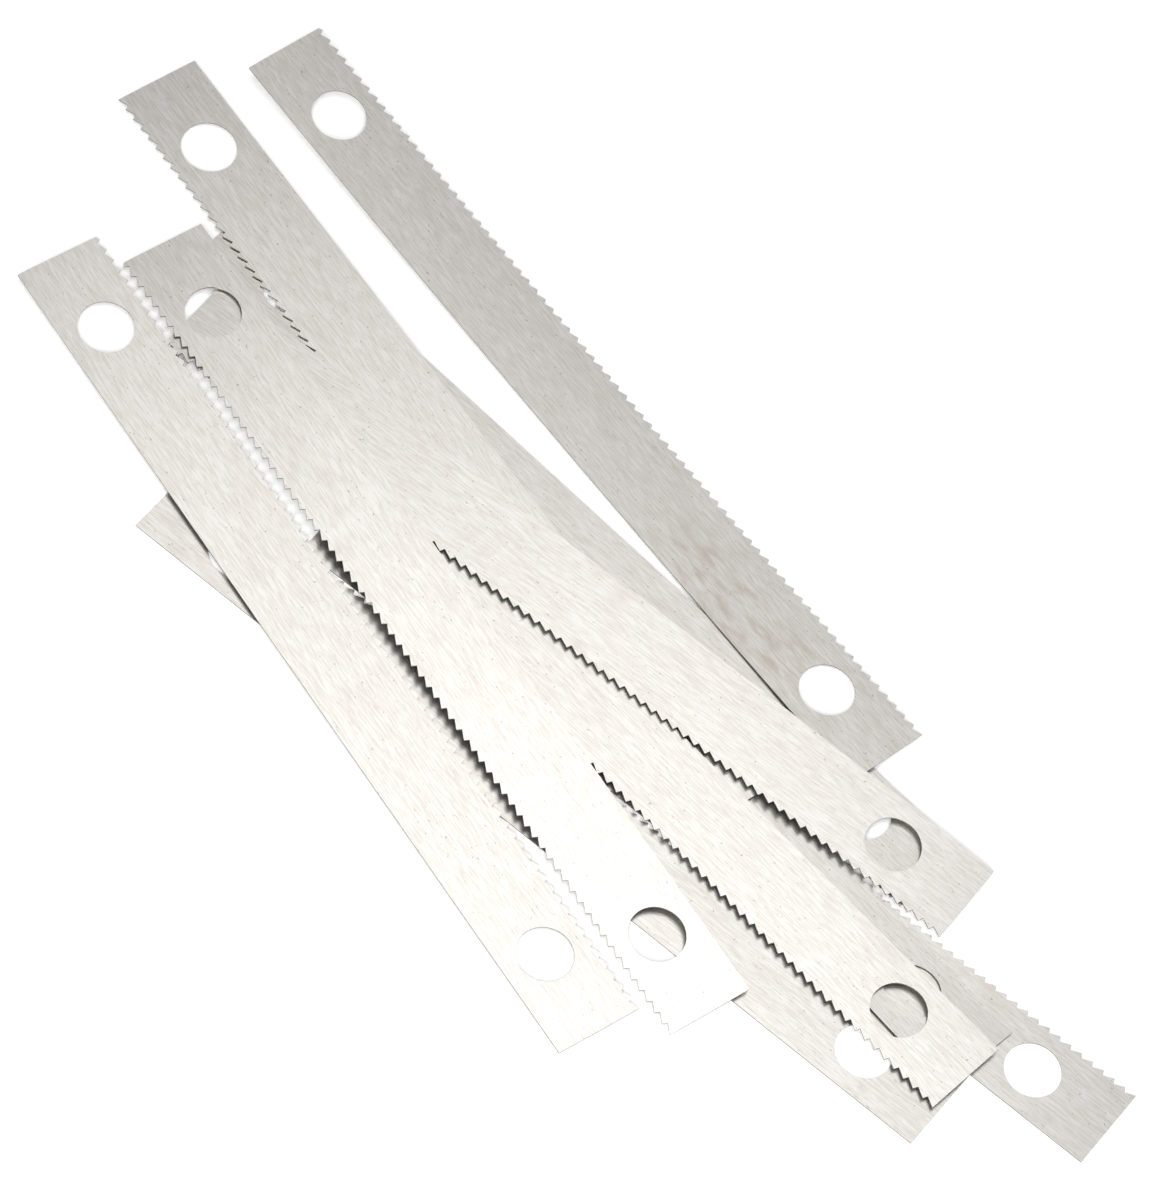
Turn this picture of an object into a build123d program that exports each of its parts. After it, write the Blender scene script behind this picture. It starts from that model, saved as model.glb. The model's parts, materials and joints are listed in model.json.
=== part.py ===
from build123d import *

import os
from collections import namedtuple
from math import asin, cos, degrees, sin

# A loose fan of ribbon saw blades for a small hand saw frame, lying as they were dropped.
#
# Every blade is the same piece: a thin strip of spring steel, toothed along one edge, with a round hole
# near each end that hangs on the two studs of the frame. The blades differ only in how they lie.
# Millimetres, +Z up, +X along the fan. The origin is under the middle of the whole pile.

# One blade
blade_length = 158.75
blade_width = 15.55  # from the smooth edge to the tooth points
blade_thickness = 0.25
hole_diameter = 9.5
hole_spacing = 128.5  # between the centres of the two holes
hole_from_smooth_edge = 7.6  # to the hole's centre
tooth_pitch = 2.165
tooth_depth = 0.85
tooth_flank_share = 0.82  # of the pitch that the long flank takes, and the steep face has the rest

half_length = blade_length / 2
half_width = blade_width / 2
beyond_blade = 3.0  # how far a cutting shape runs past the blade on each side
cutter_height = 40.0

# How one blade lies. The middle of its underside is at centre and height. heading turns it about the
# vertical, in degrees. The way it faces is plain, flipped over about its long axis, or turned end for
# end. slope is the rise towards its far end and tilt the rise of its left side, both in degrees. bow
# is how far both ends stand above the middle, so a negative bow droops.
Lie = namedtuple("Lie", "centre height heading faces slope tilt bow")

# From the bottom of the pile to the top. Each blade just clears the ones that it lies on.
pile = [
    Lie((39.4, 0.1), 0.00, 9.0, "plain", 0.00, 0.00, 0.00),
    Lie((19.9, -19.1), 0.00, 8.8, "plain", 0.00, 0.00, 0.00),
    Lie((16.8, 4.8), 0.33, -0.6, "plain", 0.14, -0.84, 0.00),
    Lie((-10.6, 15.2), 0.48, 3.9, "flipped", 0.08, -0.85, 0.00),
    Lie((-39.3, 10.3), 1.00, -6.9, "turned", 0.00, 0.53, -0.10),
    Lie((-30.2, 35.2), 0.43, -3.9, "plain", -0.57, -1.70, 1.70),
    Lie((17.9, -2.5), 1.30, 1.6, "flipped", 0.04, 1.38, -0.24),
    Lie((-2.5, 8.0), 2.45, 9.9, "flipped", 0.04, 1.31, -1.34),
    Lie((-23.8, -28.6), 0.86, -8.9, "plain", -0.31, 0.90, 0.15),
    Lie((-15.2, -12.9), 2.22, -8.6, "flipped", -0.26, 2.00, -1.09),
]

facing = {
    "plain": Rotation(0, 0, 0),
    "flipped": Rotation(180, 0, 0),
    "turned": Rotation(0, 0, 180),
}


def toothed_edge():
    """The toothed edge from the far end to the near end. The strip is cut at a tooth point there, and
    partway up a flank here. Each steep face looks towards the far end."""
    flank = tooth_flank_share * tooth_pitch
    point_x = half_length
    corners = []
    while point_x - flank > -half_length:
        corners.append((point_x, half_width))
        corners.append((point_x - flank, half_width - tooth_depth))
        point_x -= tooth_pitch
    cut_share = (point_x + half_length) / flank  # of the last tooth's flank, left by the cut
    corners.append((point_x, half_width))
    corners.append((-half_length, half_width - tooth_depth * cut_share))
    return corners


def blade_outline():
    """The flat shape of a blade seen from above, before its holes are punched."""
    smooth_edge = [(-half_length, -half_width), (half_length, -half_width)]
    return make_face(Polyline(*smooth_edge, *toothed_edge(), close=True))


def bend_radius(bow):
    """The radius of a bowed strip's underside, negative when it droops and the centre is below it."""
    return (half_length**2 + bow**2) / (2 * bow)


def strip(bow):
    """A strip of the blade's thickness, wider and longer than it, with the middle of its underside at
    the origin. Its two faces are arcs about one centre, so that it is equally thick all along."""
    reach = half_length + beyond_blade
    if bow == 0:
        return Box(
            2 * reach,
            2 * (half_width + beyond_blade),
            blade_thickness,
            align=(Align.CENTER, Align.CENTER, Align.MIN),
        )
    radius = bend_radius(bow)
    half_angle = asin(reach / radius)

    def arc_point(face_radius, angle):
        return (face_radius * sin(angle), radius - face_radius * cos(angle))

    edges = []
    ends = []
    for face_radius in (radius, radius - blade_thickness):
        start, middle, end = (arc_point(face_radius, a) for a in (-half_angle, 0, half_angle))
        edges.append(ThreePointArc(start, middle, end))
        ends.append((start, end))
    (lower_start, lower_end), (upper_start, upper_end) = ends
    edges += [Line(lower_start, upper_start), Line(lower_end, upper_end)]
    profile = Plane.XZ * make_face(edges)
    return extrude(profile, amount=half_width + beyond_blade, both=True)


def punched_strip(lie):
    """The strip with its two holes, each square to the strip where it is."""
    punched = strip(lie.bow)
    for side in (-1, 1):
        flat_place = Pos(side * hole_spacing / 2, hole_from_smooth_edge - half_width, 0)
        centre = (facing[lie.faces] * flat_place).position
        rise = 0.0
        turn = 0.0
        if lie.bow != 0:
            radius = bend_radius(lie.bow)
            turn = asin(centre.X / radius)
            rise = radius - radius * cos(turn)
        punch = Cylinder(hole_diameter / 2, 2 * beyond_blade)
        punched -= Pos(centre.X, centre.Y, rise) * Rotation(0, -degrees(turn), 0) * punch
    return punched


def lay_blade(lie):
    """One blade: its outline, straight down through the punched strip as the strip lies."""
    cutter = extrude(facing[lie.faces] * blade_outline(), amount=cutter_height / 2, both=True)
    leaning_strip = Pos(0, 0, lie.height) * Rotation(lie.tilt, -lie.slope, 0) * punched_strip(lie)
    blade = cutter & leaning_strip
    return Pos(*lie.centre, 0) * Rotation(0, 0, lie.heading) * blade.solid()


blades = [lay_blade(lie) for lie in pile]

box = Compound(blades).bounding_box()
to_origin = Pos(-(box.min.X + box.max.X) / 2, -(box.min.Y + box.max.Y) / 2, -box.min.Z)

os.makedirs("parts", exist_ok=True)
for number, blade in enumerate(blades, start=1):
    node = f"saw_blade_{number:02d}"
    placed = to_origin * blade
    placed.label = node
    export_step(placed, f"parts/{node}.step")
    centre = placed.bounding_box().center()
    print(node, f"volume {placed.volume:.1f} mm3", f"centre {centre.X:.2f} {centre.Y:.2f}")
move = to_origin.position
print(f"moved by {move.X:.3f}, {move.Y:.3f}, {move.Z:.3f}")
print(f"pile {box.size.X:.2f} x {box.size.Y:.2f} x {box.size.Z:.2f}")
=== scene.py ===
import json
import math

import bpy
from mathutils import Matrix, Vector

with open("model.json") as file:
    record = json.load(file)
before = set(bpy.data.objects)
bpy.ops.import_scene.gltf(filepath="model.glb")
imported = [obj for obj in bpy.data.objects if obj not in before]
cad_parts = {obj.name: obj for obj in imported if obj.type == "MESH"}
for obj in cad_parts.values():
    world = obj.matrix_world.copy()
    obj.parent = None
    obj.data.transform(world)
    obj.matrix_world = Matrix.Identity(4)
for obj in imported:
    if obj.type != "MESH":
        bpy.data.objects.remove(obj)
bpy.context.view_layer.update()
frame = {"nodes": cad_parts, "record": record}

bl_info = {
    "name": "Saw Blade Fan",
    "version": (1, 0, 0),
    "blender": (4, 5, 0),
    "location": "3D View > Sidebar > Saw Blades",
    "description": "Finishes a loose fan of ribbon saw blades and sets up its stage",
    "category": "Object",
}

MM = 0.001
STAINED_BLADE = "saw_blade_06"


def linear(hex_colour):
    """An sRGB hex colour as linear red, green and blue."""
    channels = [int(hex_colour[i : i + 2], 16) / 255 for i in (1, 3, 5)]
    return tuple(c / 12.92 if c <= 0.04045 else ((c + 0.055) / 1.055) ** 2.4 for c in channels)


# The blades, as they lie


def blade_places():
    """For each blade's node, the point midway between its two holes, and its heading."""
    holes = {m["name"]: Vector(m["pos_m"]) for m in frame["record"]["mounts"]}
    places = {}
    for node in sorted(frame["nodes"]):
        number = node.rsplit("_", 1)[1]
        near = holes[f"blade_{number}_near_hole"]
        far = holes[f"blade_{number}_far_hole"]
        along = far - near
        places[node] = ((near + far) / 2, math.atan2(along.y, along.x))
    return places


# Nodes


def add_node(tree, kind, inputs=(), **settings):
    """Adds a node with its settings. An input is a value, or a socket to link from."""
    node = tree.nodes.new(kind)
    for name, value in settings.items():
        setattr(node, name, value)
    for key, value in dict(inputs).items():
        if isinstance(value, bpy.types.NodeSocket):
            tree.links.new(value, node.inputs[key])
        else:
            node.inputs[key].default_value = value
    return node


def grain(tree, local, length, width, seed, detail=2.0):
    """Noise drawn out along the blade. Its grains are about that long and wide, in metres."""
    stretched = add_node(
        tree,
        "ShaderNodeMapping",
        {"Vector": local, "Location": (seed, seed * 1.7, 0.0), "Scale": (1 / length, 1 / width, 1 / width)},
    )
    noise = add_node(
        tree,
        "ShaderNodeTexNoise",
        {"Vector": stretched.outputs["Vector"], "Scale": 1.0, "Detail": detail, "Roughness": 0.55},
    )
    return noise.outputs["Fac"]


def spread(tree, value, low, high, to_low=0.0, to_high=1.0):
    """The value between low and high, spread over the new range and held at its ends."""
    node = add_node(
        tree,
        "ShaderNodeMapRange",
        {"Value": value, "From Min": low, "From Max": high, "To Min": to_low, "To Max": to_high},
    )
    return node.outputs["Result"]


def combine(tree, operation, first, second):
    """The two values put together by a Math operation."""
    node = add_node(tree, "ShaderNodeMath", {0: first, 1: second}, operation=operation)
    return node.outputs["Value"]


def tint(tree, base, colour, share):
    """The base colour, taken towards the other colour by the share."""
    node = add_node(
        tree,
        "ShaderNodeMix",
        {"Factor": share, 6: base, 7: colour},
        data_type="RGBA",
    )
    return node.outputs[2]


# Properties


class BladeFinish(bpy.types.PropertyGroup):
    """The ground spring steel of the blades."""

    steel: bpy.props.FloatVectorProperty(
        name="Steel",
        description="Colour of the bare ground strip",
        subtype="COLOR",
        default=linear("#e8e7e5"),
        min=0.0,
        max=1.0,
    )
    grain_dark: bpy.props.FloatVectorProperty(
        name="Grain",
        description="Colour in the bottom of the grinding marks",
        subtype="COLOR",
        default=linear("#c9c4bb"),
        min=0.0,
        max=1.0,
    )
    stain: bpy.props.FloatVectorProperty(
        name="Stain",
        description="Colour of dried oil between the grinding marks",
        subtype="COLOR",
        default=linear("#bfb5a6"),
        min=0.0,
        max=1.0,
    )
    edge: bpy.props.FloatVectorProperty(
        name="Cut edge",
        description="Colour of the sheared and punched edges",
        subtype="COLOR",
        default=linear("#8f8a82"),
        min=0.0,
        max=1.0,
    )
    scratch: bpy.props.FloatVectorProperty(
        name="Scratch",
        description="Colour of the short scratches from handling",
        subtype="COLOR",
        default=linear("#b4afa6"),
        min=0.0,
        max=1.0,
    )
    roughness: bpy.props.FloatProperty(
        name="Roughness",
        description="Roughness of the ground faces",
        default=0.30,
        min=0.0,
        max=1.0,
    )
    mark_width: bpy.props.FloatProperty(
        name="Mark width",
        description="Width of one grinding mark",
        unit="LENGTH",
        default=0.22 * MM,
        min=0.01 * MM,
    )
    mark_length: bpy.props.FloatProperty(
        name="Mark length",
        description="Length of one grinding mark",
        unit="LENGTH",
        default=3.2 * MM,
        min=0.1 * MM,
    )


class Studio(bpy.types.PropertyGroup):
    """The floor, the light and the camera."""

    floor: bpy.props.FloatVectorProperty(
        name="Floor",
        description="Colour of the paper that the blades lie on",
        subtype="COLOR",
        default=linear("#ffffff"),
        min=0.0,
        max=1.0,
    )
    floor_size: bpy.props.FloatProperty(
        name="Floor size",
        description="Side of the square sheet of paper",
        unit="LENGTH",
        default=6.0,
        min=0.5,
    )
    camera_distance: bpy.props.FloatProperty(
        name="Camera distance",
        description="From the camera to the middle of the fan",
        unit="LENGTH",
        default=1.1309,
        min=0.2,
    )
    camera_elevation: bpy.props.FloatProperty(
        name="Camera elevation",
        description="How far above the horizontal the camera stands",
        subtype="ANGLE",
        default=math.radians(58.9),
    )
    camera_heading: bpy.props.FloatProperty(
        name="Camera heading",
        description="Which way the camera looks, turned to the left of +Y",
        subtype="ANGLE",
        default=math.radians(26.5),
    )
    camera_roll: bpy.props.FloatProperty(
        name="Camera roll",
        description="How far the camera is rolled to the left",
        subtype="ANGLE",
        default=math.radians(22.98),
    )
    lens: bpy.props.FloatProperty(
        name="Lens",
        description="Focal length on a 36 mm frame",
        subtype="DISTANCE_CAMERA",
        default=213.03,
        min=20.0,
    )
    target: bpy.props.FloatVectorProperty(
        name="Target",
        description="The point in the fan that the camera looks at",
        subtype="TRANSLATION",
        default=(-4.56 * MM, 11.31 * MM, 0.0),
    )
    strip_radiance: bpy.props.FloatProperty(
        name="Strip softbox",
        description="Radiance of the softbox that the blades mirror",
        default=0.92,
        min=0.0,
    )
    front_radiance: bpy.props.FloatProperty(
        name="Front softbox",
        description="Radiance of the softbox in front, that gives the gaps their shadows",
        default=8.0,
        min=0.0,
    )
    top_radiance: bpy.props.FloatProperty(
        name="Top softbox",
        description="Radiance of the softbox overhead, that keeps the paper white",
        default=3.5,
        min=0.0,
    )
    room_radiance: bpy.props.FloatProperty(
        name="Room",
        description="Radiance of the white room all round",
        default=0.30,
        min=0.0,
    )


# Materials


def ground_spring_steel(node, place, finish):
    """Ground and brushed spring steel strip: a soft silver sheen, with fine marks all along the blade."""
    centre, heading = place
    number = int(node.rsplit("_", 1)[1])
    material = bpy.data.materials.new(f"ground_spring_steel_{number:02d}")
    material.use_nodes = True
    tree = material.node_tree
    tree.nodes.clear()
    output = add_node(tree, "ShaderNodeOutputMaterial")
    coordinates = add_node(tree, "ShaderNodeTexCoord")
    local = add_node(
        tree,
        "ShaderNodeMapping",
        {"Vector": coordinates.outputs["Object"], "Location": centre, "Rotation": (0.0, 0.0, heading)},
        vector_type="TEXTURE",
    ).outputs["Vector"]

    # Real grinding marks are a few hundredths of a millimetre wide. They are drawn coarser, so they show.
    marks = grain(tree, local, finish.mark_length, finish.mark_width, number, 3.0)
    bands = grain(tree, local, 14 * MM, 0.9 * MM, number + 20)
    clouds = grain(tree, local, 8 * MM, 4 * MM, number + 40)
    scratches = grain(tree, local, 1.6 * MM, 0.16 * MM, number + 60, 1.0)
    specks = grain(tree, local, 0.55 * MM, 0.35 * MM, number + 80, 0.0)

    depth = combine(tree, "MULTIPLY", spread(tree, marks, 0.60, 0.40), 0.55)
    colour = tint(tree, (*finish.steel, 1.0), (*finish.grain_dark, 1.0), depth)
    cloud_share = combine(tree, "MULTIPLY", spread(tree, clouds, 0.48, 0.75), 0.12)
    colour = tint(tree, colour, (*finish.stain, 1.0), cloud_share)
    scratch_share = combine(tree, "MULTIPLY", spread(tree, scratches, 0.66, 0.76), 0.6)
    colour = tint(tree, colour, (*finish.scratch, 1.0), scratch_share)
    speck_share = combine(tree, "MULTIPLY", spread(tree, specks, 0.80, 0.84), 0.6)
    colour = tint(tree, colour, (*finish.edge, 1.0), speck_share)

    # Oil has dried into streaks on the blade that lies off by itself.
    if node == STAINED_BLADE:
        colour = dried_streaks(tree, local, colour, finish)

    # The sheared edges and the walls of the holes stand upright and are duller.
    normal = add_node(tree, "ShaderNodeSeparateXYZ", {"Vector": coordinates.outputs["Normal"]})
    upright = combine(tree, "ABSOLUTE", normal.outputs["Z"], 0.0)
    edge_share = spread(tree, upright, 0.7, 0.5)
    colour = tint(tree, colour, (*finish.edge, 1.0), edge_share)

    roughness = spread(tree, bands, 0.3, 0.7, finish.roughness - 0.015, finish.roughness + 0.015)
    roughness = combine(tree, "ADD", roughness, combine(tree, "MULTIPLY", edge_share, 0.15))
    bump = add_node(tree, "ShaderNodeBump", {"Height": marks, "Strength": 0.2, "Distance": 0.005 * MM})
    shader = add_node(
        tree,
        "ShaderNodeBsdfPrincipled",
        {
            "Base Color": colour,
            "Metallic": 1.0,
            "Roughness": roughness,
            "Normal": bump.outputs["Normal"],
        },
    )
    tree.links.new(shader.outputs["BSDF"], output.inputs["Surface"])
    return material


def dried_streaks(tree, local, colour, finish):
    """Faint streaks of dried oil, from the middle of the blade to its far hole."""
    where = add_node(tree, "ShaderNodeSeparateXYZ", {"Vector": local})
    starts = spread(tree, where.outputs["X"], 18 * MM, 34 * MM)
    ends = spread(tree, where.outputs["X"], 72 * MM, 55 * MM)
    lower = spread(tree, where.outputs["Y"], 4.0 * MM, 0.5 * MM)
    streaks = grain(tree, local, 5 * MM, 1.5 * MM, 81)
    share = combine(tree, "MULTIPLY", combine(tree, "MULTIPLY", starts, ends), lower)
    share = combine(tree, "MULTIPLY", share, spread(tree, streaks, 0.44, 0.66))
    return tint(tree, colour, (*finish.stain, 1.0), combine(tree, "MULTIPLY", share, 0.55))


def matt_paper(colour):
    """White paper: plain and matt, so that it shows no reflection of the blades."""
    material = bpy.data.materials.new("matt_paper")
    material.use_nodes = True
    shader = material.node_tree.nodes["Principled BSDF"]
    shader.inputs["Base Color"].default_value = (*colour, 1.0)
    shader.inputs["Roughness"].default_value = 1.0
    shader.inputs["Specular IOR Level"].default_value = 0.0
    return material


# Operators


class FinishBlades(bpy.types.Operator):
    """Gives every blade its ground steel, with the marks along its own length"""

    bl_idname = "saw_blades.finish_blades"
    bl_label = "Finish the blades"

    def execute(self, context):
        finish = context.scene.blade_finish
        for node, place in blade_places().items():
            blade = frame["nodes"][node]
            blade.data.materials.clear()
            blade.data.materials.append(ground_spring_steel(node, place, finish))
        return {"FINISHED"}


def look_at(camera, target, studio):
    """Places the camera by its elevation, heading and roll, looking at the target."""
    elevation, heading, roll = studio.camera_elevation, studio.camera_heading, studio.camera_roll
    level = Vector((-math.sin(heading), math.cos(heading), 0.0))
    forward = level * math.cos(elevation) - Vector((0.0, 0.0, math.sin(elevation)))
    right = Vector((math.cos(heading), math.sin(heading), 0.0))
    above = right.cross(forward)
    across = right * math.cos(roll) + above * math.sin(roll)
    up = above * math.cos(roll) - right * math.sin(roll)
    rotation = Matrix((across, up, -forward)).transposed()
    camera.matrix_world = Matrix.LocRotScale(
        target - forward * studio.camera_distance, rotation.to_quaternion(), None
    )


def softbox(name, centre, tilt, heading, width, length, radiance, colour="#ffffff"):
    """A rectangular softbox in metres. It faces down, or leans by the tilt, and is turned to the heading."""
    light = bpy.data.lights.new(name, "AREA")
    light.shape = "RECTANGLE"
    light.size = width
    light.size_y = length
    light.energy = radiance * math.pi * width * length
    light.color = linear(colour)
    lamp = bpy.data.objects.new(name, light)
    lamp.location = centre
    lamp.rotation_euler = (tilt, 0.0, heading)
    bpy.context.scene.collection.objects.link(lamp)


class SetStage(bpy.types.Operator):
    """Lays the white floor, sets up the soft light and places the camera"""

    bl_idname = "saw_blades.set_stage"
    bl_label = "Set the stage"

    def execute(self, context):
        scene = context.scene
        studio = scene.studio
        half = studio.floor_size / 2
        sheet = bpy.data.meshes.new("floor")
        corners = [(-half, -half, 0.0), (half, -half, 0.0), (half, half, 0.0), (-half, half, 0.0)]
        sheet.from_pydata(corners, [], [(0, 1, 2, 3)])
        sheet.materials.append(matt_paper(studio.floor))
        floor = bpy.data.objects.new("floor", sheet)
        floor.location.z = -0.02 * MM
        scene.collection.objects.link(floor)

        camera = bpy.data.objects.new("camera", bpy.data.cameras.new("camera"))
        camera.data.lens = studio.lens
        scene.collection.objects.link(camera)
        look_at(camera, Vector(studio.target), studio)
        scene.camera = camera

        heading = studio.camera_heading
        strip_place = (-0.100, 0.185, 0.5)
        front_place = (0.60, -1.2, 1.1)
        top_place = (0.1, -0.1, 1.4)
        softbox("strip_softbox", strip_place, 0.0, heading, 0.30, 0.36, studio.strip_radiance, "#fffaf7")
        softbox("front_softbox", front_place, math.radians(50), heading, 1.0, 1.0, studio.front_radiance)
        softbox("top_softbox", top_place, 0.0, heading, 1.0, 1.0, studio.top_radiance)

        world = bpy.data.worlds.new("studio_white")
        world.use_nodes = True
        background = world.node_tree.nodes["Background"]
        background.inputs["Color"].default_value = (*linear("#ffffff"), 1.0)
        background.inputs["Strength"].default_value = studio.room_radiance
        scene.world = world
        scene.view_settings.view_transform = "Standard"
        return {"FINISHED"}


class SawBladesPanel(bpy.types.Panel):
    """Lists the blades' finish and the stage"""

    bl_idname = "VIEW3D_PT_saw_blades"
    bl_label = "Saw Blades"
    bl_space_type = "VIEW_3D"
    bl_region_type = "UI"
    bl_category = "Saw Blades"

    def draw(self, context):
        for group in (context.scene.blade_finish, context.scene.studio):
            box = self.layout.box()
            for name in group.__annotations__:
                box.prop(group, name)
        for step in STEPS:
            self.layout.operator(step.bl_idname)


STEPS = (FinishBlades, SetStage)
CLASSES = (BladeFinish, Studio, *STEPS, SawBladesPanel)


def register():
    for cls in CLASSES:
        bpy.utils.register_class(cls)
    bpy.types.Scene.blade_finish = bpy.props.PointerProperty(type=BladeFinish)
    bpy.types.Scene.studio = bpy.props.PointerProperty(type=Studio)


def unregister():
    del bpy.types.Scene.studio
    del bpy.types.Scene.blade_finish
    for cls in reversed(CLASSES):
        bpy.utils.unregister_class(cls)


def main():
    register()
    bpy.ops.saw_blades.finish_blades()
    bpy.ops.saw_blades.set_stage()


if __name__ == "__main__":
    main()
